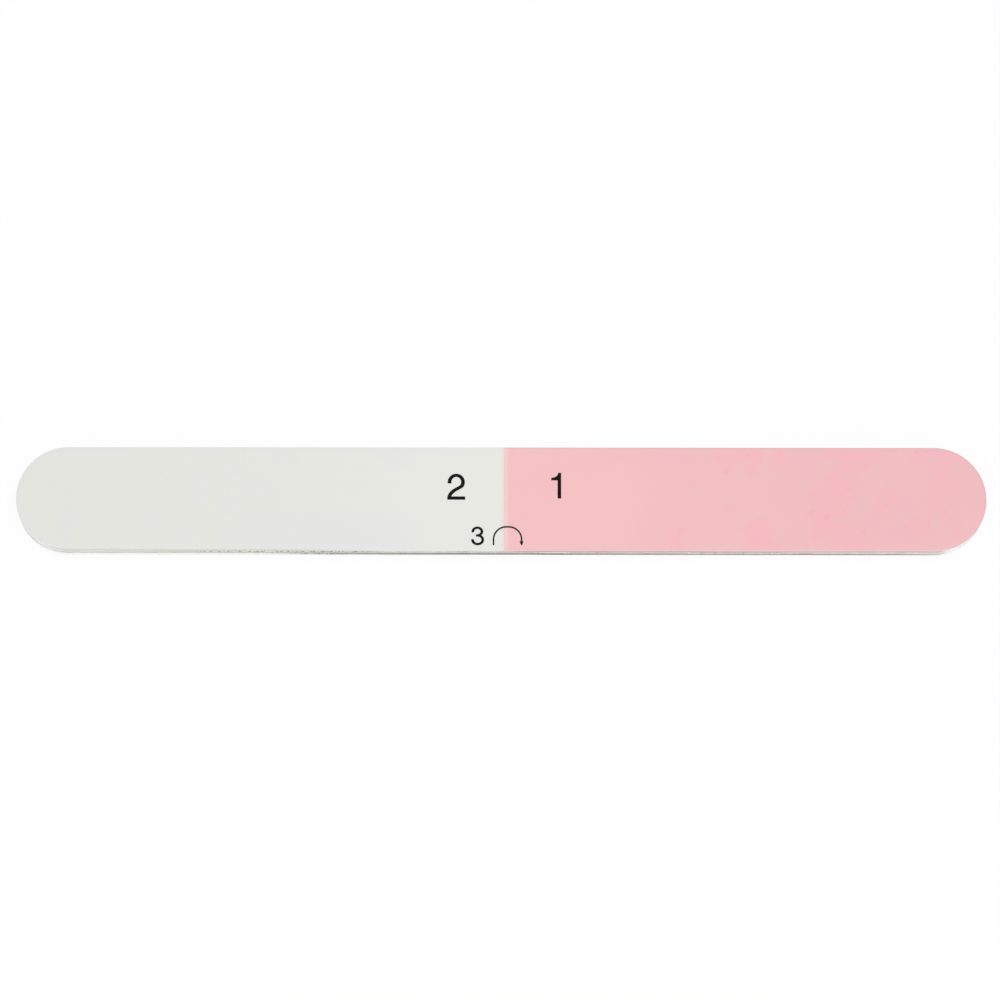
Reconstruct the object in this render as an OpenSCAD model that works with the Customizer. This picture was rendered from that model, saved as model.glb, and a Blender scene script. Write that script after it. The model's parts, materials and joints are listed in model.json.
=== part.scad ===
// Three-step nail polishing file: a flat laminate with round ends. A stiff board carries a layer of
// foam on each face. The front foam carries two abrasive sheets that butt together near the middle,
// and the rear foam carries one shine sheet. Every sheet is a film with an abrasive coat, held by an
// adhesive layer. Step numbers and a turn-over arrow are printed on the front.
// Millimetres. The origin is at the middle of the rear face, +X points to the pink end and +Z out of
// the front.

/* [Outline] */
// Overall length
file_length = 178; // [90:1:240]
// Overall width, which is also the diameter of the round ends
file_width = 19.3; // [14:0.1:30]

/* [Board and foam] */
// Thickness of the stiff board in the middle
core_thickness = 0.8; // [0.4:0.05:2]
// How far the cut edge of the board stands back from the outline
core_set_back = 0.06; // [0:0.01:0.2]
// Thickness of the adhesive between the board and each foam layer
core_adhesive_thickness = 0.1; // [0.05:0.01:0.2]
// Thickness of each foam layer
foam_thickness = 1.15; // [0.8:0.05:3]
// How far the cut side of the foam draws in between its bonded faces
foam_draw_in = 0.2; // [0.05:0.01:0.35]
// Height of the upright lip that the adhesive holds at each face of the foam
foam_lip = 0.1; // [0.05:0.01:0.2]

/* [Abrasive sheets] */
// Thickness of the adhesive under each sheet
sheet_adhesive_thickness = 0.1; // [0.05:0.01:0.2]
// How far the adhesive layers stand back from the outline
adhesive_set_back = 0.1; // [0.02:0.01:0.3]
// Thickness of the film that backs each sheet
film_thickness = 0.15; // [0.05:0.01:0.3]
// Thickness of the grit coat on the two front sheets
grit_coat_thickness = 0.1; // [0.05:0.01:0.2]
// Thickness of the smooth coat on the rear sheet
shine_coat_thickness = 0.1; // [0.05:0.01:0.3]
// Bevel that wear and the die leave on the rim of each coat
coat_rim_bevel = 0.04; // [0.01:0.01:0.04]
// Where the front sheets meet, measured from the middle towards the pink end
joint_offset = 0.6; // [-15:0.1:15]
// Width of the hairline between the two front sheets
joint_gap = 0.06; // [0.02:0.01:0.3]

/* [Print] */
// Thickness of the printed ink
ink_thickness = 0.03; // [0.01:0.01:0.08]
// Height of the numerals 1 and 2
step_numeral_height = 4.8; // [2:0.05:6]
// Height of the numeral 3
numeral_three_height = 3.46; // [1.5:0.02:4]
// Left edge of the numeral 1, from the joint
numeral_one_left = 8.6; // [2:0.1:20]
// Foot of the numeral 1, above the centreline
numeral_one_foot = 0.11; // [-3:0.01:1]
// Left edge of the numeral 2, from the joint, on the white side
numeral_two_left = 10.5; // [6:0.1:20]
// Foot of the numeral 2, below the centreline
numeral_two_drop = 0.14; // [-1:0.01:3]
// Left edge of the numeral 3, from the joint, on the white side
numeral_three_left = 6.1; // [4:0.1:10]
// Distance from the lower edge of the file to the foot of the numeral 3 and of the arrow
turn_mark_margin = 1.05; // [0.5:0.05:3]
// Left leg of the arrow, from the joint, on the white side
arrow_left = 2; // [0.5:0.05:5]
// Height of the arrow
arrow_height = 3.54; // [3.5:0.02:5]
// Width between the middles of the arrow's two legs
arrow_span = 5.14; // [3:0.02:5.6]
// Width of the arrow's line
arrow_line = 0.28; // [0.1:0.01:0.4]
// Length of the arrowhead
arrow_head_length = 0.7; // [0.3:0.02:0.8]
// Width of the arrowhead
arrow_head_width = 0.72; // [0.3:0.02:1]
// Width of the arrowhead's blunt tip
arrow_tip_width = 0.16; // [0.02:0.02:0.25]

/* [Hidden] */
$fn = 96;

// How far cutting shapes run past what they cut.
overrun = 1;
// Segments in each curve of a numeral.
curve_steps = 18;

end_radius = file_width / 2;
// Distance between the centres of the two round ends.
end_centres = file_length - file_width;

// The stack, from the rear face to the front face.
shine_coat_z = 0;
shine_film_z = shine_coat_z + shine_coat_thickness;
shine_adhesive_z = shine_film_z + film_thickness;
rear_foam_z = shine_adhesive_z + sheet_adhesive_thickness;
rear_core_adhesive_z = rear_foam_z + foam_thickness;
core_z = rear_core_adhesive_z + core_adhesive_thickness;
front_core_adhesive_z = core_z + core_thickness;
front_foam_z = front_core_adhesive_z + core_adhesive_thickness;
front_adhesive_z = front_foam_z + foam_thickness;
front_film_z = front_adhesive_z + sheet_adhesive_thickness;
grit_coat_z = front_film_z + film_thickness;
front_face_z = grit_coat_z + grit_coat_thickness;

// The numerals are drawn in shares of their height, with the foot at zero and the left edge at zero.
stem_share = 0.141;
bar_share = 0.124;
two_bowl_centre_shares = [0.344, 0.682];
two_bowl_radius_shares = [0.258, 0.268];
two_terminal_shares = [0.085, 0.634];
two_bowl_end_angle = -32;
two_slope_shares = [[0.506, 0.458], [0.077, 0.35], [0.075, 0.063]];
two_foot_shares = [0.687, 0.127];
one_stem_shares = [0.239, 0.373];
one_flag_shares = [[0, 0.809], [0.15, 0.812], [0.243, 0.866], [0.264, 1]];
one_flag_base_share = 0.707;
three_waist_share = 0.52;
three_waist_start_share = 0.256;
three_upper_centre_share = 0.33;
three_upper_radius_shares = [0.24, 0.208];
three_upper_start_angle = 192;
three_lower_centre_share = 0.345;
three_lower_radius_shares = [0.273, 0.235];
three_lower_end_angle = -187;
// Radius of the arrow's shoulders, as a share of half its span.
arrow_shoulder_share = 0.91;

// Section of a layer from its centreline to its cut edge, with a bevel on the upper or lower rim and
// a side that draws in between two upright lips.
module half_section(thickness, set_back = 0, top_bevel = 0, bottom_bevel = 0, draw_in = 0) {
    reach = end_radius - set_back;
    lower_rim = bottom_bevel > 0 ? [[reach - bottom_bevel, 0], [reach, bottom_bevel]] : [[reach, 0]];
    upper_rim = top_bevel > 0
        ? [[reach, thickness - top_bevel], [reach - top_bevel, thickness]]
        : [[reach, thickness]];
    hollow_half_height = thickness / 2 - foam_lip;
    difference() {
        polygon(concat([[0, 0]], lower_rim, upper_rim, [[0, thickness]]));
        if (draw_in > 0) {
            hollow_radius = (pow(hollow_half_height, 2) + pow(draw_in, 2)) / (2 * draw_in);
            translate([reach - draw_in + hollow_radius, thickness / 2]) circle(r = hollow_radius);
        }
    }
}

// Sweeps a half section round the outline: a half turn at each end and a straight run between them.
module swept_round_outline(z) {
    translate([0, 0, z]) {
        for (side = [1, -1])
            translate([side * end_centres / 2, 0, 0])
                rotate([0, 0, -90 * side])
                    rotate_extrude(angle = 180) children();
        rotate([90, 0, 90])
            linear_extrude(height = end_centres, center = true) {
                children();
                mirror([1, 0]) children();
            }
    }
}

// Keeps what lies on one side of the joint between the front sheets: 1 is the pink side, -1 the white.
module one_side_of_joint(side) {
    intersection() {
        children();
        translate([joint_offset + (side > 0 ? joint_gap / 2 : -joint_gap / 2 - file_length),
                   -end_radius - overrun, -overrun])
            cube([file_length, file_width + 2 * overrun, front_face_z + 2 * overrun]);
    }
}

function arc_points(centre, radii, from, to) =
    [for (i = [0 : curve_steps])
        let (angle = from + (to - from) * i / curve_steps)
        centre + [radii.x * cos(angle), radii.y * sin(angle)]];

function curve_points(p) =
    [for (i = [0 : curve_steps])
        let (t = i / curve_steps, s = 1 - t)
        pow(s, 3) * p[0] + 3 * pow(s, 2) * t * p[1] + 3 * s * pow(t, 2) * p[2] + pow(t, 3) * p[3]];

function side_step(path, i, side, stem, bar) =
    let (ahead = path[min(i + 1, len(path) - 1)] - path[max(i - 1, 0)], way = ahead / norm(ahead))
    path[i] + side * norm([bar * way.x, stem * way.y]) / 2 * [-way.y, way.x];

// Outline of a line that follows a path. It is as wide as stem where it runs upright and as bar where
// it runs level.
function ribbon(path, stem, bar) = concat(
    [for (i = [0 : len(path) - 1]) side_step(path, i, 1, stem, bar)],
    [for (i = [len(path) - 1 : -1 : 0]) side_step(path, i, -1, stem, bar)]
);

// Places a print on the front face, with its left edge and its foot where they are given.
module printed(left, foot) {
    color("#1b1a1a")
        translate([joint_offset + left, foot, front_face_z])
            union() {
                for (i = [0 : $children - 1])
                    linear_extrude(height = ink_thickness) children(i);
            }
}

module core_board() {
    color("#f4f3ef") swept_round_outline(core_z) half_section(core_thickness, core_set_back);
}

module core_adhesive(z) {
    color("#e9e4d3") swept_round_outline(z) half_section(core_adhesive_thickness, adhesive_set_back);
}

module foam(z) {
    color("#ecebe7") swept_round_outline(z) half_section(foam_thickness, draw_in = foam_draw_in);
}

module sheet_adhesive(z) {
    color("#e9e4d3") swept_round_outline(z) half_section(sheet_adhesive_thickness, adhesive_set_back);
}

module film(z) {
    color("#f7f6f2") swept_round_outline(z) half_section(film_thickness);
}

module grit_coat(paint) {
    color(paint)
        swept_round_outline(grit_coat_z) half_section(grit_coat_thickness, top_bevel = coat_rim_bevel);
}

module shine_coat() {
    color("#a9aaa8")
        swept_round_outline(shine_coat_z) half_section(shine_coat_thickness, bottom_bevel = coat_rim_bevel);
}

// Upright stem with a short flag whose upper edge curves into the top of the stem.
module numeral_one_ink() {
    printed(numeral_one_left, numeral_one_foot) {
        translate([one_stem_shares[0] * step_numeral_height, 0])
            square(step_numeral_height * [one_stem_shares[1] - one_stem_shares[0], one_flag_shares[0].y]);
        polygon(step_numeral_height * concat(
            curve_points(one_flag_shares),
            [[one_stem_shares[1], 1], [one_stem_shares[1], one_flag_base_share], [0, one_flag_base_share]]
        ));
    }
}

// Open bowl that runs down a slope into a flat foot.
module numeral_two_ink() {
    bowl = arc_points(two_bowl_centre_shares, two_bowl_radius_shares, 180, two_bowl_end_angle);
    slope = curve_points(concat([bowl[len(bowl) - 1]], two_slope_shares));
    path = concat([two_terminal_shares], bowl, [for (i = [1 : curve_steps]) slope[i]]);
    printed(-numeral_two_left, -numeral_two_drop) {
        polygon(step_numeral_height * ribbon(path, stem_share, bar_share));
        square(step_numeral_height * two_foot_shares);
    }
}

// Two bowls, one over the other, that share a short bar at the waist.
module numeral_three_ink() {
    bar_start = [three_waist_start_share, three_waist_share];
    upper = arc_points([three_upper_centre_share, three_waist_share + three_upper_radius_shares.y],
                       three_upper_radius_shares, three_upper_start_angle, -90);
    lower = arc_points([three_lower_centre_share, three_waist_share - three_lower_radius_shares.y],
                       three_lower_radius_shares, 90, three_lower_end_angle);
    printed(-numeral_three_left, turn_mark_margin - end_radius) {
        polygon(numeral_three_height * ribbon(concat(upper, [bar_start]), stem_share, bar_share));
        polygon(numeral_three_height * ribbon(concat([bar_start], lower), stem_share, bar_share));
    }
}

// Arch on two short legs, with a head on the right leg that points to the lower edge.
module turn_arrow_ink() {
    radius = arrow_shoulder_share * arrow_span / 2;
    shoulder = arrow_height - arrow_line / 2 - radius;
    left_turn = arc_points([radius, shoulder], [radius, radius], 180, 90);
    right_turn = arc_points([arrow_span - radius, shoulder], [radius, radius], 90, 0);
    path = concat([[0, 0]], left_turn, right_turn, [[arrow_span, arrow_head_length / 2]]);
    printed(-arrow_left, turn_mark_margin - end_radius) {
        polygon(ribbon(path, arrow_line, arrow_line));
        translate([arrow_span, 0])
            polygon([[arrow_tip_width / 2, 0],
                     [arrow_head_width / 2, arrow_head_length],
                     [-arrow_head_width / 2, arrow_head_length],
                     [-arrow_tip_width / 2, 0]]);
    }
}

core_board();
core_adhesive(front_core_adhesive_z);  // front_core_adhesive
core_adhesive(rear_core_adhesive_z);  // rear_core_adhesive
foam(front_foam_z);  // front_foam
foam(rear_foam_z);  // rear_foam
one_side_of_joint(1) sheet_adhesive(front_adhesive_z);  // smoothing_sheet_adhesive
one_side_of_joint(1) film(front_film_z);  // smoothing_film
one_side_of_joint(1) grit_coat("#f3c0c4");  // smoothing_coat
one_side_of_joint(-1) sheet_adhesive(front_adhesive_z);  // polishing_sheet_adhesive
one_side_of_joint(-1) film(front_film_z);  // polishing_film
one_side_of_joint(-1) grit_coat("#e6e7e2");  // polishing_coat
sheet_adhesive(shine_adhesive_z);  // shine_sheet_adhesive
film(shine_film_z);  // shine_film
shine_coat();
numeral_one_ink();
numeral_two_ink();
numeral_three_ink();
turn_arrow_ink();
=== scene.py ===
"""Looks of a three-step nail polishing file: cut edges, coats, materials, pale floor and soft light."""

import json
import math
from typing import NamedTuple

import bmesh
import bpy
import numpy as np
from mathutils import Matrix, Vector, noise


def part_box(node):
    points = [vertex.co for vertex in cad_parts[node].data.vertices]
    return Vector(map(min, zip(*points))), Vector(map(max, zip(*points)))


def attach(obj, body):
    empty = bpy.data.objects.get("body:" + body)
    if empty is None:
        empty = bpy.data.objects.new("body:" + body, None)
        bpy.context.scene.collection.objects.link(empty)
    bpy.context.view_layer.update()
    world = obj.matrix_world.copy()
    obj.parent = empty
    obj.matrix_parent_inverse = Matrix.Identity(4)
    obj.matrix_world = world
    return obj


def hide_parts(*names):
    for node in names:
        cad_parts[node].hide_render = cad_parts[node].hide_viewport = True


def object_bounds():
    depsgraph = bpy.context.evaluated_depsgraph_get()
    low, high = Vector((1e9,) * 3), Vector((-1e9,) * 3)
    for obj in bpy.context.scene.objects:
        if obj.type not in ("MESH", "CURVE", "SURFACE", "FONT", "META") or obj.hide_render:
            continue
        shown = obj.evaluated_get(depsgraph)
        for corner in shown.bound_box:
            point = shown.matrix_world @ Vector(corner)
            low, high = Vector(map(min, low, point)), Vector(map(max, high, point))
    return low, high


MM = 0.001
WHITE_LIGHT = (1, 1, 1, 1)

# The curve of screen colours: straight in the dark, and a power above that.
SCREEN_FULL = 255
SCREEN_DARK_END = 0.04045
SCREEN_DARK_SLOPE = 12.92
SCREEN_OFFSET = 0.055
SCREEN_POWER = 2.4


class Lamp(NamedTuple):
    """Rectangular lamp. Places and sizes are in metres, and the power is in watts."""

    name: str
    place: tuple
    target: tuple
    size: tuple
    power: float


class Patches(NamedTuple):
    """Patches of a tint, where a noise passes its levels. Size is that of the noise's features."""

    size: float
    levels: tuple
    share: float = 1.0
    detail: float = 2.0
    stretch: tuple = (1, 1, 1)


class Relief(NamedTuple):
    """Fine unevenness of a surface: the size of its features and their full depth."""

    size: float
    depth: float
    detail: float = 3.0


def srgb(red, green, blue):
    """Linear colour of an 8-bit screen colour."""

    def linear(value):
        share = value / SCREEN_FULL
        if share <= SCREEN_DARK_END:
            return share / SCREEN_DARK_SLOPE
        return ((share + SCREEN_OFFSET) / (1 + SCREEN_OFFSET)) ** SCREEN_POWER

    return (linear(red), linear(green), linear(blue), 1.0)


# The frame and the sizes that the pieces here follow.
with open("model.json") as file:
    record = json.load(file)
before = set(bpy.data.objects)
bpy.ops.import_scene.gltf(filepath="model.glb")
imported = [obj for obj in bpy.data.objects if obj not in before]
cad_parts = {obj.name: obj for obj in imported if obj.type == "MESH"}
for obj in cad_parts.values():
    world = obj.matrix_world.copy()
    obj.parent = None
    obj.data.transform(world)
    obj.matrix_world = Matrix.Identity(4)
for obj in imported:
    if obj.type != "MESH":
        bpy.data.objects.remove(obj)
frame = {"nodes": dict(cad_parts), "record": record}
cad_low, cad_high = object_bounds()
nodes = frame["nodes"]

END_RADIUS = (cad_high.y - cad_low.y) / 2
END_CENTRE = (cad_high.x - cad_low.x) / 2 - END_RADIUS
JOINT = (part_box("smoothing_film")[0].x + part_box("polishing_film")[1].x) / 2
JOINT_SHOWN_GAP = 0.01 * MM
PINK_EDGE = JOINT + JOINT_SHOWN_GAP / 2
WHITE_EDGE = JOINT - JOINT_SHOWN_GAP / 2
FACE_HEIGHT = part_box("smoothing_coat")[1].z
BOARD_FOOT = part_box("core_board")[0].z
BOARD_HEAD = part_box("core_board")[1].z

# Camera, as the photograph frames the file.
CAMERA_ELEVATION = math.radians(78.9)
CAMERA_ROLL = math.radians(0.07)
CAMERA_LENS_MM = 200.0
CAMERA_SENSOR_MM = 36.0
CAMERA_CLIP_START = 0.05
CAMERA_CLIP_END = 20
IMAGE_PIXELS = 1000
PIXELS_PER_METRE = 5452.0
FACE_CENTRE_PIXEL = (501.2, 499.0)

# Floor and world.
FLOOR_SIZE = 6.0
FLOOR_DROP = 0.01 * MM
FLOOR_WHITE = 0.6
FLOOR_GLOW = 1.045
FLOOR_OWN_WHITE_SHARE = 0.88
WORLD_STRENGTH = 0.5
BACKGROUND_WHITE = 0.982

# Lamps.
LOW_FILL_SIZE = (0.05, 0.008)
LAMPS = (
    Lamp("overhead_softbox", place=(0.01, 0.04, 0.55), target=(0.01, 0, 0), size=(0.5, 0.4), power=1.79),
    Lamp("middle_glow", place=(0.005, 0, 0.036), target=(0.005, 0, 0), size=(0.016, 0.016), power=0.00036),
    Lamp("left_low_fill", place=(-0.1, -0.13, 0.006), target=(-0.07, 0, 0.002),
         size=LOW_FILL_SIZE, power=0.06),
    Lamp("right_low_fill", place=(0.11, -0.13, 0.006), target=(0.07, 0, 0.002),
         size=LOW_FILL_SIZE, power=0.085),
)

# Shape of the cut foam.
FOAM_COLUMN_STEP = 0.14 * MM
FOAM_ROWS = 11
FOAM_DRAW_IN = 0.07 * MM
FOAM_DRAW_IN_POWER = 4
FOAM_CELL_SIZE = 0.34 * MM
FOAM_CELL_DEPTH = 0.05 * MM
FOAM_CELL_SPREAD = 1.6
FOAM_CELL_POWER = 6
FOAM_DRIFT_SIZE = 4 * MM
FOAM_DRIFT_SHARE = 0.4
FOAM_FINE_DRIFT_SIZE = 1 * MM
FOAM_FINE_DRIFT_SHARE = 0.2
FOAM_TUFT_LENGTH = 2.6 * MM
FOAM_TUFT_HEIGHT = 0.1 * MM
FOAM_TUFT_LEVEL = 0.3
FOAM_TUFT_FLATNESS = 2
FOAM_SEED_STEP = 40 * MM

# Shape of the coats. A seed moves a coat's noise, so that no two coats are alike.
COAT_COLUMN_STEP = 0.2 * MM
RIM_WIDTH = 0.7 * MM
RIM_DROP = 0.045 * MM
RIM_ROWS = 6
RIM_SPACING_POWER = 1.7
RIM_CURVE_POWER = 2.2
FACE_ROWS = 8
FACE_WAVE_LENGTH = 7 * MM
FACE_WAVE_HEIGHT = 0.01 * MM
CHIP_LENGTH = 0.9 * MM
CHIP_DEPTH = 0.3 * MM
CHIP_LEVEL = 0.38
CHIP_FOOT_SHARE = 0.6
JOINT_STEPS = [0.0, 0.02 * MM, 0.06 * MM, 0.12 * MM, 0.22 * MM, 0.4 * MM]
JOINT_ROLL_WIDTH = 0.2 * MM
PINK_SEED = 11 * MM
WHITE_SEED = 23 * MM
SHINE_SEED = 37 * MM
WELD_DISTANCE = 0.0002 * MM
SHARP_ANGLE = math.radians(40)

# Spans along the file where the cut edge looks different.
HIGHLIGHT_END_SPAN = (-90 * MM, -72 * MM)
WHITE_END_SPAN = (-90 * MM, -45 * MM)
FOOT_HIGHLIGHT_SPAN = (-90 * MM, -40 * MM)
RAGGED_SPAN = (-54 * MM, -29 * MM)
DARKER_REAR_SPAN = (-28 * MM, 2 * MM)
CLEAN_SPAN = (6.8 * MM, 11.5 * MM)
FOOT_SHADE_SPAN = (-16 * MM, 72 * MM)
TORN_SPAN = (38 * MM, 50 * MM)
PINK_END_SPAN = (70 * MM, 90 * MM)
# Spans along the file where a front coat has another tint.
COOL_SPAN = (-43 * MM, -20 * MM)
DEEP_SPAN = (34 * MM, 80 * MM)
# How far a span's ends reach out, and how unevenly.
SHORT_SOFTNESS = 1.2 * MM
SPAN_SOFTNESS = 3 * MM
FRAYED_SOFTNESS = 7 * MM
WIDE_SOFTNESS = 8 * MM
LONG_SOFTNESS = 14 * MM
SPAN_DRIFT = 4 * MM
SPAN_DRIFT_SIZE = 2 * MM
SPAN_DRIFT_DETAIL = 3
SPAN_DRIFT_ROUGHNESS = 0.7
# How far the levels of thinned patches sink where nothing of them is left.
PATCH_SINK = 0.35
# Heights between which a look gives way to another: at the foot of the edge and over the board.
FOOT_FADE = (0.5 * MM, 0.9 * MM)
BOARD_FADE = (BOARD_FOOT, BOARD_HEAD)
# Places across the file, as shares of its half width, between which a look of the lower side fades out.
LOWER_EDGE_SHARES = (-0.5, 0)
COOL_SIDE_SHARES = (-0.8, 0)
LOWER_RIM_SHARES = (-0.97, -0.9)

# Colours.
PINK = srgb(241, 189, 193)
PINK_LIGHT = srgb(242, 191, 194)
PINK_DEEP = srgb(245, 185, 192)
PINK_SMUDGE = srgb(231, 173, 184)
# Painted shade on the top rim and the ends, and painted shade along the lower rim.
PINK_RIM_PAINTED_SHADE = srgb(222, 182, 188)
PINK_LOWER_RIM_SHADE = srgb(218, 193, 188)
PINK_SPECK = srgb(234, 204, 204)
# Pale at the joint, and a painted highlight on the lower rim.
PINK_PALE_EDGE_AND_HIGHLIGHT = srgb(241, 214, 212)
WHITE_COAT = srgb(230, 231, 225)
WHITE_COAT_WARM = srgb(230, 231, 219)
WHITE_COAT_COOL = srgb(229, 229, 228)
WHITE_COAT_SPECK = srgb(216, 216, 210)
WHITE_COAT_BLUSH = srgb(241, 213, 212)
WHITE_COAT_RIM = srgb(205, 206, 197)
SHINE_GREY = srgb(168, 170, 168)
SHINE_GREY_DARK = srgb(162, 164, 162)
SHINE_RUBBED = srgb(184, 186, 184)
SHINE_SPECK = srgb(130, 131, 130)
FOAM_PALE = srgb(228, 228, 221)
FOAM_SHADE = srgb(206, 205, 199)
FOAM_PITTED = srgb(136, 135, 133)
FOAM_DARK_TONE = srgb(140, 138, 137)
# Painted shade at the foot of the edge.
FOAM_FOOT_SHADE = srgb(90, 88, 88)
# Painted shadow at the foot of the clean span.
FOAM_CLEAN_SPAN_SHADOW = srgb(78, 75, 75)
# White of torn flecks, also used for painted highlights on the edge.
FOAM_TORN_AND_HIGHLIGHT_WHITE = srgb(253, 252, 250)
PINK_EDGE_TINT = srgb(206, 149, 156)
FILM_WHITE = srgb(222, 222, 216)
FILM_GREY = srgb(196, 196, 190)
FILM_DARK = srgb(92, 93, 93)
FILM_DARK_WORN = srgb(126, 127, 126)
ADHESIVE_CLEAR = srgb(206, 201, 184)
ADHESIVE_DUSTY = srgb(184, 179, 164)
BOARD_CLEAN = srgb(252, 251, 248)
BOARD_SMEARED = srgb(217, 216, 211)
BOARD_SCUFFED = srgb(172, 170, 167)
INK_BLACK = srgb(7, 7, 7)
INK_WORN = srgb(16, 15, 15)
INK_THIN = srgb(46, 44, 44)

# Grit of the front coats, and what their tints share.
GRIT_GRAIN_SIZE = 0.13 * MM
GRIT_GRAIN_SHARE = -0.7
GRIT_BINDER_SIZE = 0.5 * MM
GRIT_BINDER_DETAIL = 3
GRIT_DEPTH = 0.012 * MM
GRIT_ROUGHNESS = 0.82
GRIT_SPECULAR = 0.15
RAGGED_SIZE = 0.5 * MM
RAGGED_SHIFT = 0.3 * MM
RIM_TINT_SHARE = 0.8

# Pink coat.
PINK_MOTTLE = Patches(size=14 * MM, levels=(0.35, 0.65), detail=3)
PINK_DEEP_PATCHES = Patches(size=7 * MM, levels=(0.47, 0.56), detail=3)
PINK_DEEP_SHARE = 0.8
PINK_SMUDGES = Patches(size=1.4 * MM, levels=(0.62, 0.7), share=0.35)
PINK_SPECKS = Patches(size=0.16 * MM, levels=(0.4, 0.8), share=0.3, detail=1)
PINK_JOINT_FADE = (-0.3 * MM, 0.9 * MM)
PINK_JOINT_SHARE = 0.8
PINK_RIM_FADE = (-0.1 * MM, 0.15 * MM)
PINK_LOWER_RIM_SHADE_FADE = (0.1 * MM, 0.4 * MM)
PINK_LOWER_RIM_SHADE_SHARE = 0.45

# White coat.
WHITE_MOTTLE = Patches(size=22 * MM, levels=(0.45, 0.6))
WHITE_COOL_PATCHES = Patches(size=3 * MM, levels=(0.3, 0.45), detail=3)
WHITE_SCATTERED_PATCHES = WHITE_COOL_PATCHES._replace(levels=(0.5, 0.6), share=0.7)
WHITE_WARM_PATCHES = Patches(size=6 * MM, levels=(0.6, 0.8), share=0.2)
WHITE_SPECKS = Patches(size=0.16 * MM, levels=(0.45, 0.85), share=0.3, detail=1)
WHITE_COOL_RIM_FADE = (0.4 * MM, 0.9 * MM)
WHITE_COOL_RIM_SHARE = 0.7
WHITE_JOINT_FADE = (-0.7 * MM, 0.15 * MM)
WHITE_JOINT_SHARE = 0.9
WHITE_RIM_FADE = (-0.1 * MM, 0.26 * MM)
WHITE_WORN_END_FADE = (-40 * MM, -22 * MM)

# Noise levels between which the roughness of an unevenly smooth surface changes.
ROUGHNESS_LEVELS = (0.3, 0.7)

# Shine coat.
SHINE_CLOUDS = Patches(size=9 * MM, levels=(0.35, 0.65), detail=4)
SHINE_RUBBING = Patches(size=1.2 * MM, levels=(0.55, 0.8), share=0.25, detail=3, stretch=(14, 1, 1))
SHINE_SPECKS = Patches(size=0.25 * MM, levels=(0.68, 0.74), share=0.5, detail=0)
SHINE_ROUGHNESS = (0.42, 0.56)
SHINE_SPECULAR = 0.4
SHINE_RELIEF = Relief(size=0.35 * MM, depth=0.006 * MM, detail=4)

# Foam, and the fades and shares of its darker, tinted and torn spans and of its painted shade and
# highlights.
FOAM_PIT_SIZE = 0.3 * MM
FOAM_PIT_LEVELS = (0.15, 0.6)
FOAM_PIT_DEPTH = 0.08 * MM
FOAM_RELIEF = Relief(size=0.12 * MM, depth=0.03 * MM)
FOAM_BUMP_STRENGTH = 0.6
FOAM_STREAKS = Patches(size=1.1 * MM, levels=(0.48, 0.68), share=0.35, detail=3, stretch=(5, 5, 1))
FOAM_TEARS = Patches(size=0.34 * MM, levels=(0.47, 0.62), share=0.2, stretch=(1, 1, 3))
FOAM_RAGGED_TEARS = FOAM_TEARS._replace(share=0.87)
FOAM_FLECKS = Patches(size=0.32 * MM, levels=(0.38, 0.5), detail=3, stretch=(1.5, 1.5, 1))
DARKER_REAR_SHARE = 0.42
FOOT_SHADE_SHARE = 0.75
REAR_PINK_TINT_SHARE = 0.2
FRONT_PINK_TINT_SHARE = 0.75
PINK_TINT_FADE = (-3 * MM, 3 * MM)
END_FRONT_SHADE_SHARE = 0.4
END_HIGHLIGHT_SHARE = 0.7
REAR_HIGHLIGHT_SHARE = 0.7
CLEAN_SPAN_SHADOW_SHARE = 0.85
FOOT_HIGHLIGHT_SHARE = 0.8
TIP_HIGHLIGHT_SHARE = 0.8
TIP_HIGHLIGHT_FADE = 4 * MM
FOAM_ROUGHNESS = 0.9
FOAM_SPECULAR = 0.2
FOAM_GLOW_SHARE = 0.15
FOAM_GLOW_REACH = (0.4 * MM, 0.35 * MM, 0.3 * MM)

# Films.
FILM_SCUFFS = Patches(size=0.9 * MM, levels=(0.45, 0.75), detail=4, stretch=(3, 3, 1))
FILM_ROUGHNESS = (0.3, 0.5)
FILM_RELIEF = Relief(size=0.2 * MM, depth=0.008 * MM)

# Adhesives.
ADHESIVE_DUST = Patches(size=0.5 * MM, levels=(0.45, 0.7), detail=4)
ADHESIVE_ROUGHNESS_LEVELS = (0.4, 0.7)
ADHESIVE_ROUGHNESS = (0.22, 0.6)
ADHESIVE_RELIEF = Relief(size=0.25 * MM, depth=0.02 * MM)

# Board.
BOARD_SHEAR = Patches(size=0.22 * MM, levels=(0.5, 0.8), share=0.5, detail=3, stretch=(1, 1, 7))
BOARD_SCUFFS = Patches(size=0.6 * MM, levels=(0.5, 0.65), share=0.6, detail=3, stretch=(4, 4, 1))
BOARD_WHITE_END_SHARE = 0.7
BOARD_ROUGHNESS = (0.34, 0.55)
BOARD_SHEAR_DEPTH = 0.03 * MM

# Ink.
INK_WORN_PATCHES = Patches(size=0.7 * MM, levels=(0.4, 0.7), share=0.5)
INK_THIN_FADE = (0.0, 0.12)
INK_THIN_SHARE = 0.35
INK_ROUGHNESS = 0.6
INK_SPECULAR = 0.07


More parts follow.
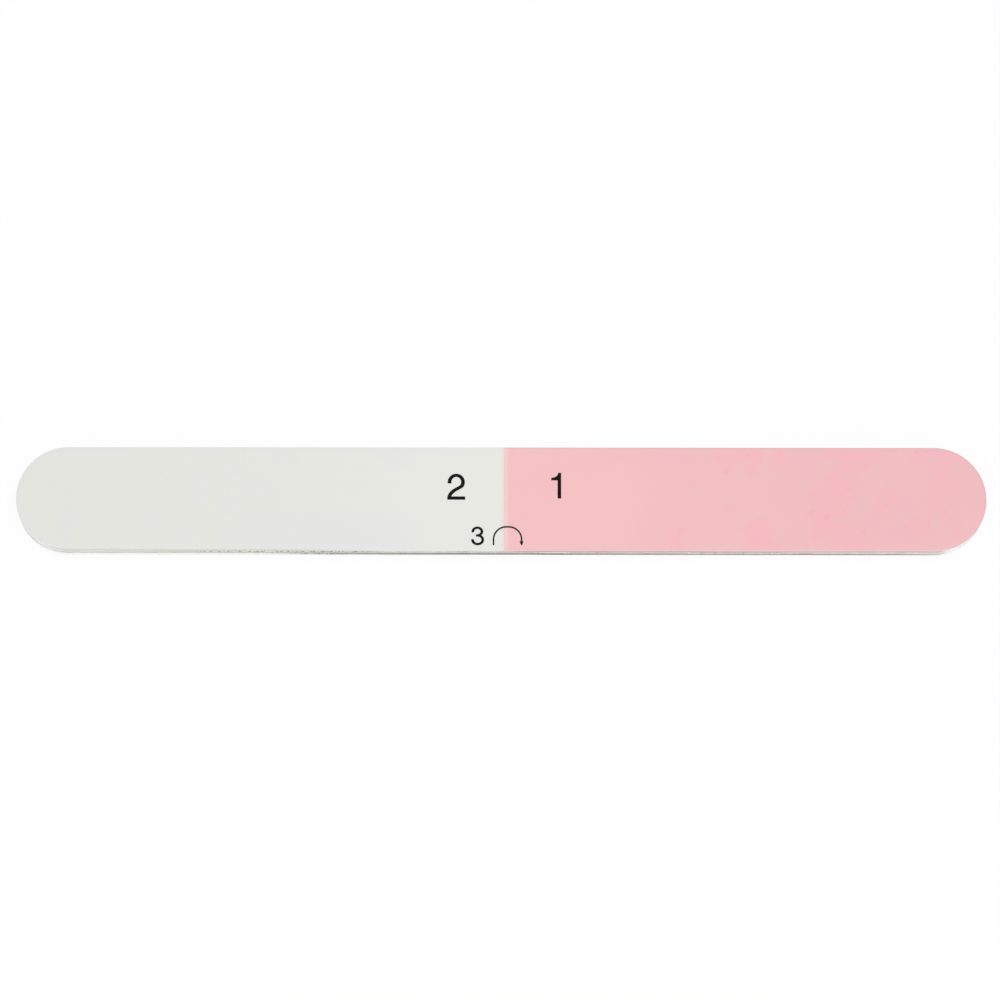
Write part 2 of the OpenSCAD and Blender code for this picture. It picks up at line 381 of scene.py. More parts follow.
class Nodes:
    """Node tree of one material or world. Each call adds a node and gives back its output."""

    def __init__(self, owner):
        owner.use_nodes = True
        self.tree = owner.node_tree
        self.tree.nodes.clear()

    def add(self, kind, inputs=(), output=0, **settings):
        node = self.tree.nodes.new("ShaderNode" + kind)
        for name, value in settings.items():
            setattr(node, name, value)
        for key, value in dict(inputs).items():
            if isinstance(value, bpy.types.NodeSocket):
                self.tree.links.new(value, node.inputs[key])
            else:
                node.inputs[key].default_value = value
        return node.outputs[output]

    def math(self, operation, first, second=0.0):
        return self.add("Math", {0: first, 1: second}, operation=operation)

    def product(self, first, *others):
        for value in others:
            first = self.math("MULTIPLY", first, value)
        return first

    def ramp(self, value, start, end, low=0.0, high=1.0):
        """Value turned smoothly from low at start to high at end."""
        inputs = {"Value": value, "From Min": start, "From Max": end, "To Min": low, "To Max": high}
        return self.add("MapRange", inputs, interpolation_type="SMOOTHSTEP")

    def fall(self, value, start, end, share=1.0):
        """Share up to start, falling smoothly to 0 at end."""
        return self.ramp(value, start, end, low=share, high=0.0)

    def mix(self, factor, first, second):
        return self.add("Mix", {0: factor, 6: first, 7: second}, output=2, data_type="RGBA")

    def band(self, value, start, end, soft):
        """1 between start and end, falling smoothly to 0 over the soft width on both sides."""
        rising = self.ramp(value, start - soft, start)
        falling = self.fall(value, end, end + soft)
        return self.math("MINIMUM", rising, falling)

    def place(self):
        return self.add("TexCoord", output="Object")

    def axis(self, place, name):
        return self.add("SeparateXYZ", {0: place}, output=name)

    def grain(self, place, size, detail=2.0, roughness=0.5, stretch=(1, 1, 1)):
        """Noise whose features are about that size, in metres, longer along a stretched axis."""
        if stretch != (1, 1, 1):
            shrink = [1 / s for s in stretch]
            place = self.add("Mapping", {"Vector": place, "Scale": shrink})
        inputs = {"Vector": place, "Scale": 1 / size, "Detail": detail, "Roughness": roughness}
        return self.add("TexNoise", inputs)

    def patch_noise(self, place, patches):
        return self.grain(place, patches.size, patches.detail, stretch=patches.stretch)

    def patches(self, place, patches):
        """Share of the tint inside its patches, and 0 outside them."""
        return self.ramp(self.patch_noise(place, patches), *patches.levels, high=patches.share)

    def thinned_patches(self, place, patches, fullness):
        """Patches that shrink where the fullness is below 1, and are gone where it is 0."""
        sink = self.ramp(fullness, 0, 1, low=-PATCH_SINK, high=0.0)
        sunk = self.math("ADD", self.patch_noise(place, patches), sink)
        return self.ramp(sunk, *patches.levels, high=patches.share)

    def ray(self, kind):
        return self.add("LightPath", output=kind)

    def cells(self, place, size):
        return self.add("TexVoronoi", {"Vector": place, "Scale": 1 / size}, output="Distance")

    def bump(self, height, depth, strength=1.0, normal=None):
        """Bump whose full height is depth, in metres."""
        inputs = {"Height": height, "Distance": depth, "Strength": strength}
        if normal is not None:
            inputs["Normal"] = normal
        return self.add("Bump", inputs)

    def relief(self, place, relief, strength=1.0, normal=None):
        return self.bump(self.grain(place, relief.size, relief.detail), relief.depth, strength, normal)

    def finish(self, color, roughness, normal, more=()):
        """Surface of the material, with any more inputs than these three by their own names."""
        inputs = {"Base Color": color, "Roughness": roughness, "Normal": normal, **dict(more)}
        self.surface(self.add("BsdfPrincipled", inputs))

    def surface(self, shader):
        self.add_output("OutputMaterial", shader)

    def add_output(self, kind, shader):
        node = self.tree.nodes.new("ShaderNode" + kind)
        self.tree.links.new(shader, node.inputs["Surface"])


def new_material(name):
    material = bpy.data.materials.new(name)
    return material, Nodes(material)


def past_end_centre(tree, place):
    """Distance along the file past the centre of its nearer round end."""
    return tree.math("SUBTRACT", tree.math("ABSOLUTE", tree.axis(place, "X")), END_CENTRE)


def inset_from_outline(tree, place):
    """Distance of a point from the file's outline, measured inwards."""
    past_centre = tree.math("MAXIMUM", past_end_centre(tree, place))
    across = tree.add("CombineXYZ", {"X": past_centre, "Y": tree.axis(place, "Y")})
    reach = tree.add("VectorMath", {0: across}, output="Value", operation="LENGTH")
    return tree.math("SUBTRACT", END_RADIUS, reach)


def distance_from_joint(tree, place):
    """Distance along the file from the joint of the front sheets, positive on the pink side."""
    return tree.math("SUBTRACT", tree.axis(place, "X"), JOINT)


def on_lower_side(tree, place, shares):
    """1 on the side of the file below the numerals, falling to 0 between two shares of its half width."""
    return tree.fall(tree.axis(place, "Y"), shares[0] * END_RADIUS, shares[1] * END_RADIUS)


def in_span(tree, place, span, softness=SPAN_SOFTNESS):
    """1 inside a span along the file, falling unevenly to 0 beyond its ends."""
    drift = tree.grain(place, SPAN_DRIFT_SIZE, SPAN_DRIFT_DETAIL, SPAN_DRIFT_ROUGHNESS)
    along = tree.math("ADD", tree.axis(place, "X"), tree.product(drift, 2 * SPAN_DRIFT))
    return tree.band(tree.math("SUBTRACT", along, SPAN_DRIFT), *span, softness)


def in_lower_span(tree, place, span, softness=SPAN_SOFTNESS):
    """1 inside a span of the long edge below the numerals, and 0 on the other long edge."""
    return tree.product(on_lower_side(tree, place, LOWER_EDGE_SHARES), in_span(tree, place, span, softness))


def below(tree, place, fade):
    """1 below the fade, falling to 0 at its upper height."""
    return tree.fall(tree.axis(place, "Z"), *fade)


def above(tree, place, fade):
    """0 below the fade, rising to 1 at its upper height."""
    return tree.ramp(tree.axis(place, "Z"), *fade)


def grit_finish(tree, place, color):
    """Fine abrasive: separate grains over a slightly uneven binder."""
    grains = tree.cells(place, GRIT_GRAIN_SIZE)
    binder = tree.grain(place, GRIT_BINDER_SIZE, GRIT_BINDER_DETAIL)
    height = tree.math("ADD", tree.product(grains, GRIT_GRAIN_SHARE), binder)
    tree.finish(color, GRIT_ROUGHNESS, tree.bump(height, GRIT_DEPTH), {"Specular IOR Level": GRIT_SPECULAR})


def ragged_shift(tree, place):
    """Small uneven distance by which the tints along an edge are shifted."""
    return tree.product(tree.grain(place, RAGGED_SIZE), RAGGED_SHIFT)


def pink_grit_material():
    """Pink coat: deeper and smudged in patches towards its end, pale at the joint, with painted shade along
    the top rim and the ends, and along the lower rim a painted highlight with painted shade over it.
    """
    material, tree = new_material("pink_grit")
    place = tree.place()
    in_deep_span = in_span(tree, place, DEEP_SPAN, WIDE_SOFTNESS)
    deep = tree.product(tree.patches(place, PINK_DEEP_PATCHES), in_deep_span)
    color = tree.mix(tree.patches(place, PINK_MOTTLE), PINK, PINK_LIGHT)
    color = tree.mix(tree.product(deep, PINK_DEEP_SHARE), color, PINK_DEEP)
    color = tree.mix(tree.product(tree.patches(place, PINK_SMUDGES), deep), color, PINK_SMUDGE)
    color = tree.mix(tree.patches(place, PINK_SPECKS), color, PINK_SPECK)
    ragged = ragged_shift(tree, place)
    from_joint = tree.math("SUBTRACT", distance_from_joint(tree, place), ragged)
    color = tree.mix(tree.fall(from_joint, *PINK_JOINT_FADE, PINK_JOINT_SHARE), color, PINK_PALE_EDGE_AND_HIGHLIGHT)
    inset = tree.math("SUBTRACT", inset_from_outline(tree, place), ragged)
    # Along the rim: painted shade on the top rim and the ends, and a painted highlight on the lower rim.
    lower_rim = on_lower_side(tree, place, LOWER_RIM_SHARES)
    rim_light_and_shade = tree.mix(lower_rim, PINK_RIM_PAINTED_SHADE, PINK_PALE_EDGE_AND_HIGHLIGHT)
    color = tree.mix(tree.fall(inset, *PINK_RIM_FADE, RIM_TINT_SHARE), color, rim_light_and_shade)
    # Painted shade along the lower rim.
    lower_rim_wear_and_shade = tree.product(lower_rim, tree.fall(inset, *PINK_LOWER_RIM_SHADE_FADE, PINK_LOWER_RIM_SHADE_SHARE))
    color = tree.mix(lower_rim_wear_and_shade, color, PINK_LOWER_RIM_SHADE)
    grit_finish(tree, place, color)
    return material


def white_grit_material():
    """White coat: cooler in patches and near the rim, blushed at the joint, worn along its lower rim."""
    material, tree = new_material("white_grit")
    place = tree.place()
    cooled = tree.product(on_lower_side(tree, place, COOL_SIDE_SHARES),
                          in_span(tree, place, COOL_SPAN, WIDE_SOFTNESS),
                          tree.patches(place, WHITE_COOL_PATCHES))
    scattered = tree.product(tree.patches(place, WHITE_MOTTLE), tree.patches(place, WHITE_SCATTERED_PATCHES))
    ragged = ragged_shift(tree, place)
    inset = tree.math("SUBTRACT", inset_from_outline(tree, place), ragged)
    cool_rim = tree.fall(inset, *WHITE_COOL_RIM_FADE, WHITE_COOL_RIM_SHARE)
    cooled = tree.math("MAXIMUM", tree.math("MAXIMUM", cooled, cool_rim), scattered)
    color = tree.mix(cooled, WHITE_COAT, WHITE_COAT_COOL)
    color = tree.mix(tree.patches(place, WHITE_WARM_PATCHES), color, WHITE_COAT_WARM)
    color = tree.mix(tree.patches(place, WHITE_SPECKS), color, WHITE_COAT_SPECK)
    from_joint = tree.math("ADD", distance_from_joint(tree, place), ragged)
    blush = tree.ramp(from_joint, *WHITE_JOINT_FADE, high=WHITE_JOINT_SHARE)
    color = tree.mix(blush, color, WHITE_COAT_BLUSH)
    worn_end = tree.fall(tree.axis(place, "X"), *WHITE_WORN_END_FADE)
    lower_rim_wear_and_shade = tree.product(worn_end, on_lower_side(tree, place, LOWER_RIM_SHARES))
    at_rim = tree.fall(inset, *WHITE_RIM_FADE, RIM_TINT_SHARE)
    color = tree.mix(tree.product(at_rim, lower_rim_wear_and_shade), color, WHITE_COAT_RIM)
    grit_finish(tree, place, color)
    return material


def shine_material():
    """Grey buffing coat, rubbed along the file."""
    material, tree = new_material("shine")
    place = tree.place()
    color = tree.mix(tree.patches(place, SHINE_CLOUDS), SHINE_GREY, SHINE_GREY_DARK)
    color = tree.mix(tree.patches(place, SHINE_RUBBING), color, SHINE_RUBBED)
    color = tree.mix(tree.patches(place, SHINE_SPECKS), color, SHINE_SPECK)
    roughness = tree.ramp(tree.patch_noise(place, SHINE_RUBBING), *ROUGHNESS_LEVELS, *SHINE_ROUGHNESS)
    tree.finish(color, roughness, tree.relief(place, SHINE_RELIEF), {"Specular IOR Level": SHINE_SPECULAR})
    return material


def cut_foam_color(tree, place, pits):
    """Foam colour with its cells, its streaks and the ragged span."""
    ragged = in_lower_span(tree, place, RAGGED_SPAN, FRAYED_SOFTNESS)
    # Darker at the cell centres: painted shade in the pits.
    color = tree.mix(tree.ramp(pits, *FOAM_PIT_LEVELS), FOAM_SHADE, FOAM_PALE)
    color = tree.mix(tree.patches(place, FOAM_STREAKS), color, FOAM_PITTED)
    color = tree.mix(tree.patches(place, FOAM_TEARS), color, FOAM_PITTED)
    return tree.mix(tree.thinned_patches(place, FOAM_RAGGED_TEARS, ragged), color, FOAM_PITTED)


def darkened_foam_color(tree, place, color):
    """Foam colour darker on the rear layer in two spans, with painted shade at the foot, a pink tint on the
    pink half that is stronger higher up, and painted shade on the front layer at the pink end.
    """
    rear = below(tree, place, BOARD_FADE)
    front = above(tree, place, BOARD_FADE)
    foot = below(tree, place, FOOT_FADE)
    # Darker on the rear layer in two spans of the lower edge.
    darker_rear = tree.math("MAXIMUM", in_lower_span(tree, place, DARKER_REAR_SPAN, LONG_SOFTNESS),
                      in_lower_span(tree, place, TORN_SPAN))
    # Painted shade at the foot of the edge, where it meets the floor.
    shaded_foot = tree.product(foot, in_lower_span(tree, place, FOOT_SHADE_SPAN, LONG_SOFTNESS))
    # Pink tint on the pink half, stronger higher up the edge.
    pink_tint_share = tree.ramp(tree.axis(place, "Z"), *BOARD_FADE, low=REAR_PINK_TINT_SHARE, high=FRONT_PINK_TINT_SHARE)
    pink_tinted = tree.product(pink_tint_share, tree.ramp(distance_from_joint(tree, place), *PINK_TINT_FADE))
    # Painted shade on the front layer at the pink end.
    end_front_shade = tree.product(front, in_span(tree, place, PINK_END_SPAN, LONG_SOFTNESS))
    color = tree.mix(tree.product(rear, darker_rear, DARKER_REAR_SHARE), color, FOAM_DARK_TONE)
    color = tree.mix(tree.product(shaded_foot, FOOT_SHADE_SHARE), color, FOAM_FOOT_SHADE)
    color = tree.mix(pink_tinted, color, PINK_EDGE_TINT)
    return tree.mix(tree.product(end_front_shade, END_FRONT_SHADE_SHARE), color, FOAM_DARK_TONE)


def torn_foam_color(tree, place, color):
    """Foam colour with white flecks, where the cut tore the rear layer."""
    flecks = tree.thinned_patches(place, FOAM_FLECKS, in_lower_span(tree, place, TORN_SPAN, FRAYED_SOFTNESS))
    torn = tree.product(below(tree, place, BOARD_FADE), above(tree, place, FOOT_FADE), flecks)
    return tree.mix(torn, color, FOAM_TORN_AND_HIGHLIGHT_WHITE)


def white_end_color(tree, place, color):
    """Foam colour at the white end: painted shade, then a painted highlight towards the tip, on the front
    layer, and a painted highlight on the rear layer.
    """
    rear = below(tree, place, BOARD_FADE)
    front = above(tree, place, BOARD_FADE)
    at_end = in_span(tree, place, WHITE_END_SPAN)
    smooth = tree.math("SUBTRACT", 1.0, in_lower_span(tree, place, RAGGED_SPAN))
    end_highlight = tree.product(front, in_span(tree, place, HIGHLIGHT_END_SPAN, LONG_SOFTNESS), END_HIGHLIGHT_SHARE)
    # Painted shade on the front layer.
    color = tree.mix(tree.product(front, at_end, smooth), color, FOAM_SHADE)
    # Painted highlight on the front layer near the tip.
    color = tree.mix(end_highlight, color, FOAM_PALE)
    # Painted highlight on the rear layer.
    return tree.mix(tree.product(rear, at_end, REAR_HIGHLIGHT_SHARE), color, FOAM_TORN_AND_HIGHLIGHT_WHITE)


def edge_color(tree, place, color):
    """Colour of a layer's edge: painted shadow at the foot of the clean span, and painted highlights at the
    foot of the white end and towards both round ends.
    """
    foot = below(tree, place, FOOT_FADE)
    # Painted shadow at the foot of the clean span.
    clean_span_shadow = tree.product(foot, in_lower_span(tree, place, CLEAN_SPAN, SHORT_SOFTNESS), CLEAN_SPAN_SHADOW_SHARE)
    # Painted highlight at the foot of the white end, and towards both round ends.
    foot_highlight = tree.product(foot, in_span(tree, place, FOOT_HIGHLIGHT_SPAN, WIDE_SOFTNESS), FOOT_HIGHLIGHT_SHARE)
    tip_highlight = tree.ramp(past_end_centre(tree, place), 0, TIP_HIGHLIGHT_FADE, high=TIP_HIGHLIGHT_SHARE)
    color = tree.mix(clean_span_shadow, color, FOAM_CLEAN_SPAN_SHADOW)
    color = tree.mix(foot_highlight, color, FOAM_TORN_AND_HIGHLIGHT_WHITE)
    return tree.mix(tip_highlight, color, FOAM_TORN_AND_HIGHLIGHT_WHITE)


def foam_material():
    """Cut foam: pitted, darker in spans, tinted pink on the pink half, with painted shade and painted
    highlights, and torn in one span.
    """
    material, tree = new_material("foam")
    place = tree.place()
    pits = tree.cells(place, FOAM_PIT_SIZE)
    color = cut_foam_color(tree, place, pits)
    color = darkened_foam_color(tree, place, color)
    color = torn_foam_color(tree, place, color)
    color = white_end_color(tree, place, color)
    color = edge_color(tree, place, color)
    normal = tree.bump(pits, FOAM_PIT_DEPTH, FOAM_BUMP_STRENGTH)
    normal = tree.relief(place, FOAM_RELIEF, FOAM_BUMP_STRENGTH, normal)
    tree.finish(color, FOAM_ROUGHNESS, normal, {
        "Specular IOR Level": FOAM_SPECULAR, "Subsurface Weight": FOAM_GLOW_SHARE,
        "Subsurface Radius": FOAM_GLOW_REACH, "Subsurface Scale": 1.0})
    return material


def film_material(name, plain, scuffed):
    """Edge of a thin film, scuffed where it was cut."""
    material, tree = new_material(name)
    place = tree.place()
    color = edge_color(tree, place, tree.mix(tree.patches(place, FILM_SCUFFS), plain, scuffed))
    roughness = tree.ramp(tree.patch_noise(place, FILM_SCUFFS), *ROUGHNESS_LEVELS, *FILM_ROUGHNESS)
    tree.finish(color, roughness, tree.relief(place, FILM_RELIEF))
    return material


def adhesive_material():
    """Edge of an adhesive layer, duller where dust stuck to it."""
    material, tree = new_material("adhesive")
    place = tree.place()
    dust = tree.patch_noise(place, ADHESIVE_DUST)
    color = tree.mix(tree.patches(place, ADHESIVE_DUST), ADHESIVE_CLEAR, ADHESIVE_DUSTY)
    roughness = tree.ramp(dust, *ADHESIVE_ROUGHNESS_LEVELS, *ADHESIVE_ROUGHNESS)
    tree.finish(edge_color(tree, place, color), roughness, tree.relief(place, ADHESIVE_RELIEF))
    return material


def board_material():
    """Board edge: white where it was cut clean, otherwise dulled by smeared foam."""
    material, tree = new_material("board")
    place = tree.place()
    shear = tree.patch_noise(place, BOARD_SHEAR)
    at_white_end = tree.product(in_span(tree, place, WHITE_END_SPAN), BOARD_WHITE_END_SHARE)
    color = tree.mix(in_lower_span(tree, place, TORN_SPAN), BOARD_SMEARED, BOARD_SCUFFED)
    color = tree.mix(at_white_end, color, BOARD_SCUFFED)
    color = tree.mix(in_span(tree, place, PINK_END_SPAN, LONG_SOFTNESS), color, BOARD_CLEAN)
    color = tree.mix(tree.patches(place, BOARD_SHEAR), color, BOARD_SMEARED)
    color = tree.mix(tree.patches(place, BOARD_SCUFFS), color, BOARD_SCUFFED)
    color = tree.mix(in_lower_span(tree, place, CLEAN_SPAN, SHORT_SOFTNESS), color, BOARD_CLEAN)
    roughness = tree.ramp(shear, *ROUGHNESS_LEVELS, *BOARD_ROUGHNESS)
    tree.finish(color, roughness, tree.bump(shear, BOARD_SHEAR_DEPTH))
    return material


def ink_material():
    """Black ink, thin over the tops of the grains below it."""
    material, tree = new_material("ink")
    place = tree.place()
    grain = tree.cells(place, GRIT_GRAIN_SIZE)
    color = tree.mix(tree.patches(place, INK_WORN_PATCHES), INK_BLACK, INK_WORN)
    color = tree.mix(tree.fall(grain, *INK_THIN_FADE, INK_THIN_SHARE), color, INK_THIN)
    tree.finish(color, INK_ROUGHNESS, tree.bump(grain, GRIT_DEPTH), {"Specular IOR Level": INK_SPECULAR})
    return material


def end_turn(step):
    """Directions of the columns round the end at +X, as angles, without the first and the last."""
    count = math.ceil(math.pi * END_RADIUS / step) + 1
    return np.linspace(-math.pi / 2, math.pi / 2, count)[1:-1]


def columns_round_file(step):
    """Centres and outward directions of columns all round the outline, anticlockwise."""
    straight = np.linspace(-END_CENTRE, END_CENTRE, math.ceil(2 * END_CENTRE / step) + 1)
    turn = end_turn(step)
    centres = np.concatenate([
        straight, np.full(len(turn), END_CENTRE), straight[::-1], np.full(len(turn), -END_CENTRE)])
    angles = np.concatenate([
        np.full(len(straight), -math.pi / 2), turn, np.full(len(straight), math.pi / 2), turn + math.pi])
    return centres, np.column_stack([np.cos(angles), np.sin(angles)])


def columns_past_joint(edge, side, step):
    """Columns from the joint round one end and back. Side is 1 for the pink end, -1 for the white end."""
    length = END_CENTRE - side * edge
    count = math.ceil((length - JOINT_STEPS[-1]) / step)
    along = np.concatenate([JOINT_STEPS[:-1], np.linspace(JOINT_STEPS[-1], length, count + 1)])
    straight = edge + side * along
    turn = end_turn(step)
    centres = np.concatenate([straight, np.full(len(turn), side * END_CENTRE), straight[::-1]])
    angles = np.concatenate([
        np.full(len(straight), -math.pi / 2), turn, np.full(len(straight), math.pi / 2)])
    return centres, np.column_stack([side * np.cos(angles), np.sin(angles)])


def sweep(name, columns, insets, heights, closed):
    """Solid swept round the columns. Insets and heights hold one row per point of the section."""
    centres, directions = columns
    column_count = insets.shape[1]
    reach = END_RADIUS - insets
    points = np.stack([centres + directions[:, 0] * reach, directions[:, 1] * reach, heights], axis=-1)
    mesh = bpy.data.meshes.new(name)
    build = bmesh.new()
    corners = [[build.verts.new(point) for point in row] for row in points]
    last = column_count if closed else column_count - 1
    for low, high in zip(corners, corners[1:]):
        for i in range(last):
            ahead = (i + 1) % column_count
            build.faces.new((low[i], low[ahead], high[ahead], high[i]))
    bmesh.ops.remove_doubles(build, verts=build.verts, dist=WELD_DISTANCE)
    bmesh.ops.holes_fill(build, edges=[e for e in build.edges if e.is_boundary], sides=0)
    bmesh.ops.recalc_face_normals(build, faces=build.faces)
    build.to_mesh(mesh)
    build.free()
    mesh.shade_smooth()
    mesh.set_sharp_from_angle(angle=SHARP_ANGLE)
    piece = bpy.data.objects.new(name, mesh)
    bpy.context.scene.collection.objects.link(piece)
    return piece


def noise_at(x, y, z, size):
    return noise.noise(Vector((x, y, z)) / size)


def foam_inset(x, y, level, share, seed):
    """Depth of a foam layer's cut side at a point. Share is -1 at the layer's foot and 1 at its head."""
    near = noise.voronoi(Vector((x, y, level + seed)) / FOAM_CELL_SIZE)[0][0]
    pit = FOAM_CELL_DEPTH * max(0.0, 1 - near * FOAM_CELL_SPREAD)
    drift = FOAM_DRIFT_SHARE * noise_at(x, y, level + seed, FOAM_DRIFT_SIZE)
    drift += FOAM_FINE_DRIFT_SHARE * noise_at(x, y, level, FOAM_FINE_DRIFT_SIZE)
    tuft = max(0.0, noise_at(x, y, FOAM_TUFT_FLATNESS * level + seed, FOAM_TUFT_LENGTH) - FOAM_TUFT_LEVEL)
    hollow = FOAM_DRAW_IN * (1 - share**FOAM_DRAW_IN_POWER) * (1 + drift)
    return max(0.0, hollow + pit * (1 - share**FOAM_CELL_POWER) - FOAM_TUFT_HEIGHT * tuft)


def foam_piece(name, node, seed):
    """Foam layer whose cut side draws in and shows its cells."""
    low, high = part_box(node)
    columns = columns_round_file(FOAM_COLUMN_STEP)
    centres, directions = columns
    insets = np.zeros((FOAM_ROWS + 2, len(centres)))
    heights = np.zeros_like(insets)
    insets[[0, -1]] = END_RADIUS
    heights[0], heights[-1] = low.z, high.z
    for row, level in enumerate(np.linspace(low.z, high.z, FOAM_ROWS), start=1):
        share = 2 * (level - low.z) / (high.z - low.z) - 1
        heights[row] = level
        for i, (centre, (across_x, across_y)) in enumerate(zip(centres, directions)):
            x = centre + across_x * END_RADIUS
            insets[row, i] = foam_inset(x, across_y * END_RADIUS, level, share, seed)
    piece = sweep(name, columns, insets, heights, closed=True)
    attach(piece, "root")
    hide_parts(node)
    return piece


def coat_section():
    """Insets and drops of a coat's rows: the middle of its back, its foot, its rim and its face."""
    rim_shares = np.linspace(0, 1, RIM_ROWS) ** RIM_SPACING_POWER
    rim_drops = RIM_DROP * (1 - rim_shares) ** RIM_CURVE_POWER
    face_insets = np.linspace(RIM_WIDTH, END_RADIUS, FACE_ROWS + 1)[1:]
    insets = np.concatenate([[END_RADIUS, 0.0], RIM_WIDTH * rim_shares, face_insets])
    drops = np.concatenate([[0.0, 0.0], rim_drops, np.zeros(FACE_ROWS)])
    return insets, drops


def joint_drop(centre, joint_edge):
    """Drop of a coat's face where it rolls down to the joint."""
    if joint_edge is None:
        return 0.0
    nearness = max(0.0, 1 - abs(centre - joint_edge) / JOINT_ROLL_WIDTH)
    return RIM_DROP * nearness**2


def coat_piece(name, node, columns, facing, seed, joint_edge=None):
    """Coat with a rolled, slightly chipped rim. Facing is 1 for the front of the file, -1 for the rear."""
    low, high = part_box(node)
    backed, exposed = (low.z, high.z) if facing > 0 else (high.z, low.z)
    centres, directions = columns
    row_insets, row_drops = coat_section()
    insets = np.repeat(row_insets[:, None], len(centres), axis=1)
    heights = np.full_like(insets, backed)
    foot_row = 1
    for i, (centre, (across_x, across_y)) in enumerate(zip(centres, directions)):
        edge_noise = noise_at(centre + across_x * END_RADIUS, across_y * END_RADIUS, seed, CHIP_LENGTH)
        chip = CHIP_DEPTH * max(0.0, edge_noise - CHIP_LEVEL)
        insets[foot_row, i] += chip * CHIP_FOOT_SHARE
        for row in range(foot_row + 1, len(row_insets)):
            reach = END_RADIUS - row_insets[row]
            face_noise = noise_at(centre + across_x * reach, across_y * reach, seed, FACE_WAVE_LENGTH)
            wave = FACE_WAVE_HEIGHT * (1 + face_noise) / 2
            drop = max(row_drops[row], joint_drop(centre, joint_edge))
            insets[row, i] += chip * max(0.0, 1 - row_insets[row] / RIM_WIDTH)
            heights[row, i] = exposed - facing * (drop + wave)
    piece = sweep(name, columns, insets, heights, closed=joint_edge is None)
    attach(piece, "root")
    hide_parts(node)
    return piece


def dress_cad_nodes():
    """Gives each CAD node that stays in view its finish."""
    finishes = {
        "film": film_material("film", FILM_WHITE, FILM_GREY),
        "grey_film": film_material("grey_film", FILM_DARK, FILM_DARK_WORN),
        "adhesive": adhesive_material(),
        "board": board_material(),
        "ink": ink_material(),
    }
    for subpart in frame["record"]["subparts"]:
        finish = finishes.get(subpart["material_slot"])
        if finish is not None:
            shown = nodes[subpart["node"]]
            shown.data.materials.clear()
            shown.data.materials.append(finish)


def build_foam():
    material = foam_material()
    for count, side in enumerate(("front", "rear")):
        piece = foam_piece(side + "_foam_cut", side + "_foam", count * FOAM_SEED_STEP)
        piece.data.materials.append(material)


def build_coats():
    columns = columns_past_joint(PINK_EDGE, 1, COAT_COLUMN_STEP)
    pink = coat_piece("smoothing_coat_rolled", "smoothing_coat", columns, 1, PINK_SEED, PINK_EDGE)
    pink.data.materials.append(pink_grit_material())
    columns = columns_past_joint(WHITE_EDGE, -1, COAT_COLUMN_STEP)
    white = coat_piece("polishing_coat_rolled", "polishing_coat", columns, 1, WHITE_SEED, WHITE_EDGE)
    white.data.materials.append(white_grit_material())
    columns = columns_round_file(COAT_COLUMN_STEP)
    shine = coat_piece("shine_coat_rolled", "shine_coat", columns, -1, SHINE_SEED)
    shine.data.materials.append(shine_material())


def seen_directly(tree):
    """1 for rays that show the background: from the camera, in a reflection or through glass."""
    seen = tree.math("MAXIMUM", tree.ray("Is Camera Ray"), tree.ray("Is Glossy Ray"))
    return tree.math("MAXIMUM", seen, tree.ray("Is Transmission Ray"))


def build_floor():
    half = FLOOR_SIZE / 2
    height = cad_low.z - FLOOR_DROP
    mesh = bpy.data.meshes.new("floor")
    corners = [(-half, -half, height), (half, -half, height), (half, half, height), (-half, half, height)]
    mesh.from_pydata(corners, [], [(0, 1, 2, 3)])
    floor = bpy.data.objects.new("floor", mesh)
    bpy.context.scene.collection.objects.link(floor)
    material, tree = new_material("floor")
    paper = tree.add("BsdfDiffuse", {"Color": (FLOOR_WHITE, FLOOR_WHITE, FLOOR_WHITE, 1)})
    glow = tree.add("Emission", {"Color": WHITE_LIGHT, "Strength": FLOOR_GLOW})
    share = tree.product(seen_directly(tree), FLOOR_OWN_WHITE_SHARE)
    tree.surface(tree.add("MixShader", {0: share, 1: paper, 2: glow}))
    mesh.materials.append(material)


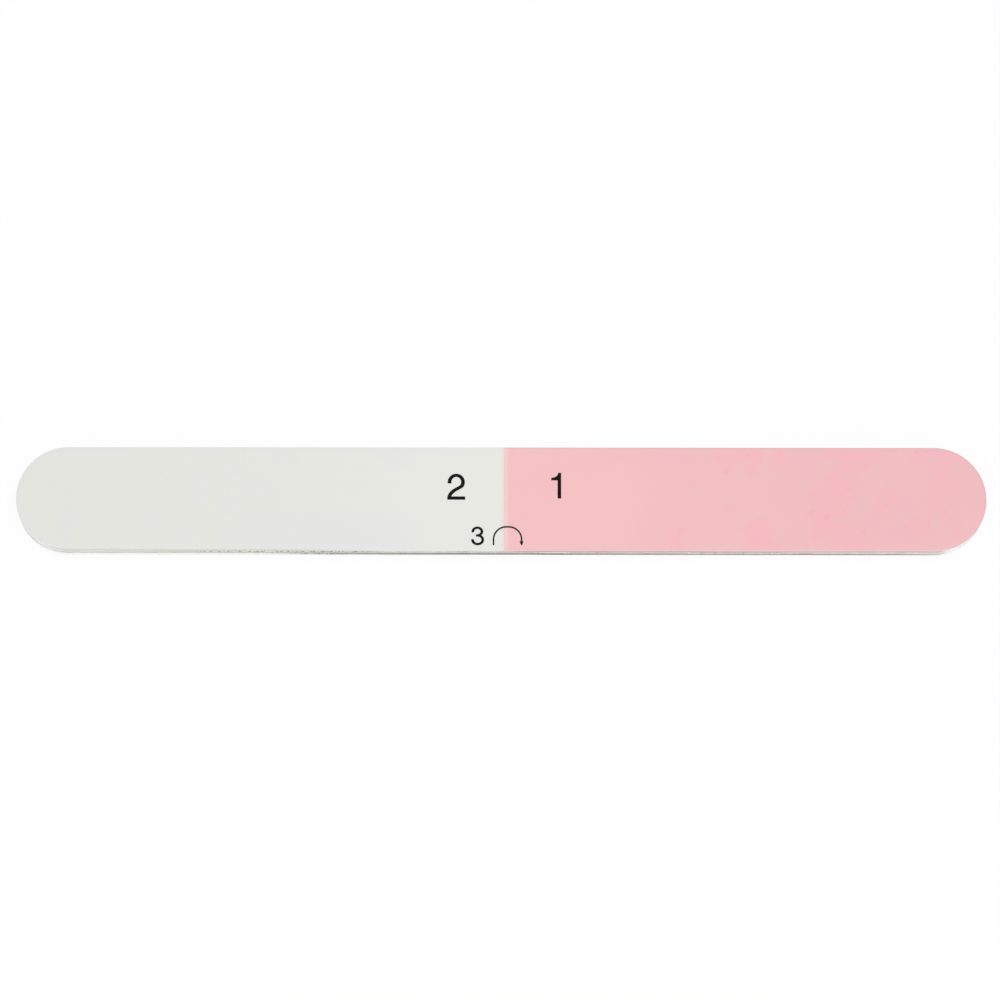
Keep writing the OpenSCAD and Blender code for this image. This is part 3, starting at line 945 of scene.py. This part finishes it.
def build_world():
    world = bpy.data.worlds.new("studio")
    bpy.context.scene.world = world
    tree = Nodes(world)
    fill = tree.add("Background", {"Color": WHITE_LIGHT, "Strength": WORLD_STRENGTH})
    shown = tree.add("Background", {"Color": WHITE_LIGHT, "Strength": BACKGROUND_WHITE})
    tree.add_output("OutputWorld", tree.add("MixShader", {0: seen_directly(tree), 1: fill, 2: shown}))


def build_lamp(lamp):
    light = bpy.data.lights.new(lamp.name, "AREA")
    light.shape = "RECTANGLE"
    light.size, light.size_y = lamp.size
    light.energy = lamp.power
    holder = bpy.data.objects.new(lamp.name, light)
    holder.location = lamp.place
    aim = Vector(lamp.target) - Vector(lamp.place)
    holder.rotation_euler = aim.to_track_quat("-Z", "Y").to_euler()
    holder.visible_camera = False
    bpy.context.scene.collection.objects.link(holder)


def build_camera():
    """Long lens that frames the file as the photograph does."""
    data = bpy.data.cameras.new("camera")
    data.lens = CAMERA_LENS_MM
    data.sensor_width = CAMERA_SENSOR_MM
    data.clip_start = CAMERA_CLIP_START
    data.clip_end = CAMERA_CLIP_END
    camera = bpy.data.objects.new("camera", data)
    back = Vector((0, -math.cos(CAMERA_ELEVATION), math.sin(CAMERA_ELEVATION)))
    right = Vector((1, 0, 0))
    up = back.cross(right)
    distance = CAMERA_LENS_MM / CAMERA_SENSOR_MM * IMAGE_PIXELS / PIXELS_PER_METRE
    middle = IMAGE_PIXELS / 2
    aside = (middle - FACE_CENTRE_PIXEL[0]) / PIXELS_PER_METRE
    upwards = (FACE_CENTRE_PIXEL[1] - middle) / PIXELS_PER_METRE
    target = Vector((0, 0, FACE_HEIGHT))
    turn = Matrix((right, up, back)).transposed().to_4x4() @ Matrix.Rotation(CAMERA_ROLL, 4, "Z")
    camera.matrix_world = Matrix.Translation(target + back * distance + right * aside + up * upwards) @ turn
    bpy.context.scene.collection.objects.link(camera)
    bpy.context.scene.camera = camera


build_camera()
dress_cad_nodes()
build_foam()
build_coats()
build_floor()
build_world()
for lamp in LAMPS:
    build_lamp(lamp)

bpy.context.scene.view_settings.view_transform = "Standard"
